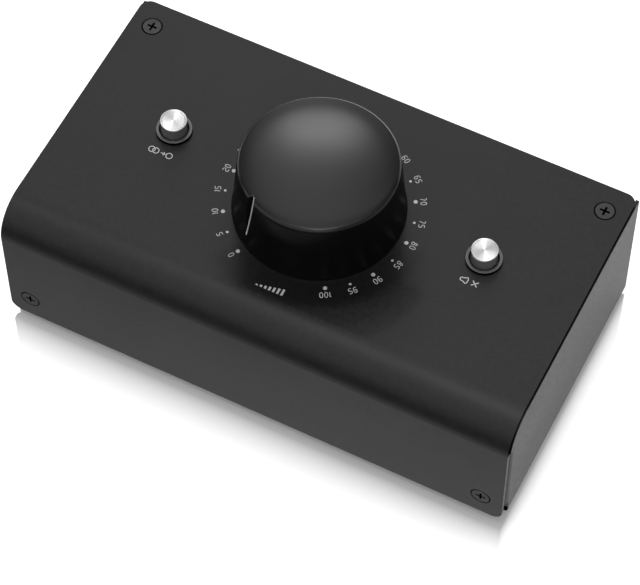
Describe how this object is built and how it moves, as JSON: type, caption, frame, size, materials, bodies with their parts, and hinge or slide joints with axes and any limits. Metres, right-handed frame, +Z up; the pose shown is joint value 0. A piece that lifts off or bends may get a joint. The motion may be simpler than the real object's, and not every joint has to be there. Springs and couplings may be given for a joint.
{
  "type": "monitor volume controller",
  "caption": "Desktop volume controller: folded steel box with a large numbered volume knob, push buttons on top and jack sockets at the back.",
  "frame": {"origin": "centre of the box's footprint at the level of the table", "axes": "+X to the right seen from the front, +Y to the back where the sockets are, +Z up"},
  "size_m": [0.1464, 0.08, 0.066],
  "materials": {
    "black_steel": "fine textured powder coat",
    "knob_plastic": "satin top, glossy side",
    "pale_inlay": "satin",
    "black_plastic": "fine moulded texture",
    "turned_metal": "finely turned",
    "black_screw": "black oxide",
    "bright_steel": "plain",
    "brass": "satin",
    "grey_rubber": "matt",
    "board_green": "solder mask",
    "phenolic": "matt",
    "switch_grey": "matt",
    "plunger_white": "matt",
    "cable_grey": "ribbed"
  },
  "bodies": {
    "case": {"top_cover": "black_steel", "chassis": "black_steel", "rear_panel": "black_steel", "cover_screws_top": "black_screw", "cover_screws_front": "black_screw", "feet": "grey_rubber", "pot_track": "phenolic", "pot_can": "bright_steel", "pot_bushing": "brass", "pot_washer": "bright_steel", "pot_nut": "bright_steel", "pot_pins": "bright_steel", "control_board": "board_green", "socket_board": "board_green", "standoffs": "brass", "board_screws": "bright_steel", "flat_cable": "cable_grey", "cable_headers": "black_plastic", "line_jacks": "black_plastic", "line_jack_nuts": "black_plastic", "mini_jack": "black_plastic", "mini_jack_nut": "bright_steel", "left_button_bezel": "black_plastic", "left_button_switch": "switch_grey", "left_button_spring": "bright_steel", "right_button_bezel": "black_plastic", "right_button_switch": "switch_grey", "right_button_spring": "bright_steel"},
    "knob": {"volume_knob": "knob_plastic", "knob_pointer": "pale_inlay", "knob_bush": "brass", "pot_shaft": "bright_steel", "pot_wiper": "switch_grey"},
    "left_button": {"left_button_cap": "turned_metal", "left_button_stem": "black_plastic", "left_button_plunger": "plunger_white"},
    "right_button": {"right_button_cap": "turned_metal", "right_button_stem": "black_plastic", "right_button_plunger": "plunger_white"}
  },
  "joints": [
    {"name": "volume_turn", "type": "hinge", "parent": "case", "child": "knob", "pos_m": [0, 0.00035, 0.056], "axis": [0, 0, -1], "range_deg": [0, 300]},
    {"name": "left_button_press", "type": "slide", "parent": "case", "child": "left_button", "axis": [0, 0, -1], "range_m": [0, 0.0025], "stiffness_N_per_m": 400, "springref_m": -0.002, "deforming": ["left_button_spring"]},
    {"name": "right_button_press", "type": "slide", "parent": "case", "child": "right_button", "axis": [0, 0, -1], "range_m": [0, 0.0025], "stiffness_N_per_m": 400, "springref_m": -0.002, "deforming": ["right_button_spring"]}
  ]
}
